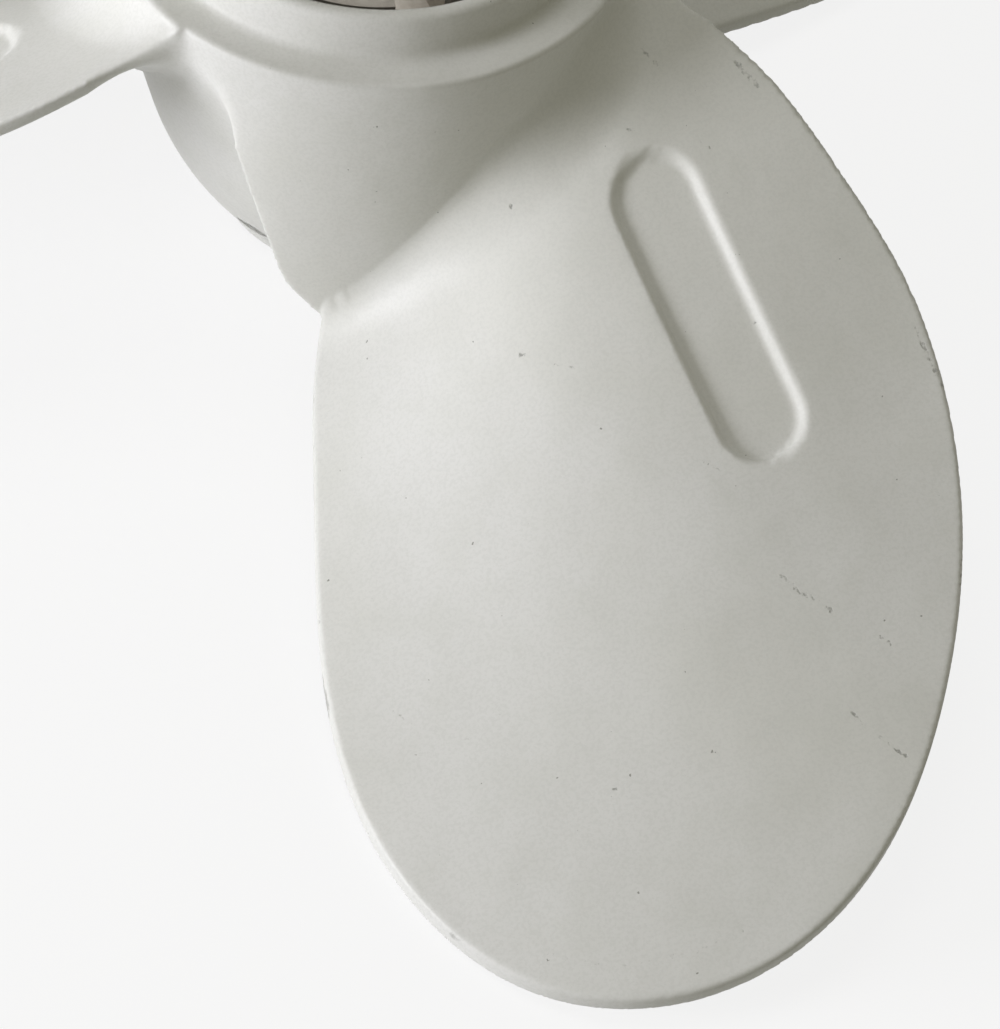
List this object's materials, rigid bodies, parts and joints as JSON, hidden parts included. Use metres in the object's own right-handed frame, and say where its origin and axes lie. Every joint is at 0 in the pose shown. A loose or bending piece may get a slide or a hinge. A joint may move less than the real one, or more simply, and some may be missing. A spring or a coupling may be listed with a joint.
{
  "type": "boat propeller",
  "caption": "Small outboard boat propeller: painted casting with raked blades round a stepped hub, rubber bush and slotted drive sleeve.",
  "frame": {"origin": "on the shaft axis, inside the bore of the drive sleeve", "axes": "+Z along the shaft towards the front of the hub, which faces the gearcase; the first blade points along -Y"},
  "size_m": [0.1653, 0.1529, 0.0421],
  "materials": {
    "painted_casting": "semi-gloss off-white paint on cast aluminium, lightly scuffed",
    "bush_rubber": "matt black moulded rubber",
    "sleeve_metal": "dull machined bronze, lightly tarnished"
  },
  "bodies": {
    "propeller": {"propeller_casting": "painted_casting", "rubber_bush": "bush_rubber"},
    "sleeve": {"drive_sleeve": "sleeve_metal"}
  },
  "joints": [
    {"name": "rubber_wind_up", "type": "hinge", "parent": "propeller", "child": "sleeve", "pos_m": [0, 0, 0], "axis": [0, 0, 1], "range_deg": [-10, 10], "stiffness_Nm_per_rad": 65}
  ]
}
